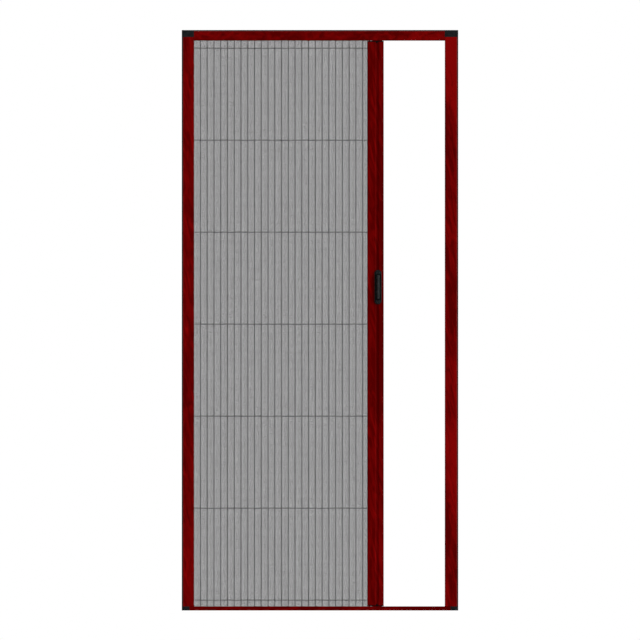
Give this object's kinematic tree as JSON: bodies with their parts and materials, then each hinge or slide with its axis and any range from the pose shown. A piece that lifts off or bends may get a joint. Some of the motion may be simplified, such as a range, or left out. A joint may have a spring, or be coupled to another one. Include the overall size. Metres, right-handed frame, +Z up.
{
  "type": "folding screen door",
  "caption": "Insect-screen door whose pleated mesh folds into a channel in one jamb, drawn across the doorway by an upright pull bar on tensioned cords.",
  "frame": {"origin": "middle of the sill's underside, on the floor of the doorway", "axes": "+X along the doorway from the jamb the screen folds into towards the closing jamb, -Y out of the face the picture shows, +Z up"},
  "size_m": [1, 0.053, 2.1],
  "materials": {
    "foiled_profile": "aluminium extrusion under a satin mahogany-red wood-grain foil",
    "corner_plastic": "black moulded nylon, finely eroded",
    "shoe_plastic": "black moulded acetal, smooth where it slides",
    "handle_plastic": "black moulded plastic, satin",
    "screen_mesh": "grey polyester insect mesh with set pleats",
    "strip_plastic": "grey extruded plastic strip",
    "magnet_strip": "flexible magnet strip, matt",
    "pile_seal": "black woven pile",
    "eyelet_plastic": "smooth black moulded plastic",
    "tension_cord": "braided polyester cord"
  },
  "bodies": {
    "root": {"left_jamb": "foiled_profile", "right_jamb": "foiled_profile", "head_rail": "foiled_profile", "sill_rail": "foiled_profile", "pull_bar": "foiled_profile", "top_left_corner": "corner_plastic", "top_right_corner": "corner_plastic", "bottom_left_corner": "corner_plastic", "bottom_right_corner": "corner_plastic", "bar_top_shoe": "shoe_plastic", "bar_bottom_shoe": "shoe_plastic", "front_handle": "handle_plastic", "back_handle": "handle_plastic", "pleated_screen": "screen_mesh", "screen_jamb_strip": "strip_plastic", "screen_bar_strip": "strip_plastic", "bar_magnet_strip": "magnet_strip", "jamb_magnet_strip": "magnet_strip", "head_front_seal": "pile_seal", "head_back_seal": "pile_seal", "cord_eyelets": "eyelet_plastic", "tension_cord_1": "tension_cord", "tension_cord_2": "tension_cord", "tension_cord_3": "tension_cord", "tension_cord_4": "tension_cord", "tension_cord_5": "tension_cord", "tension_cord_6": "tension_cord", "tension_cord_7": "tension_cord"}
  },
  "joints": []
}
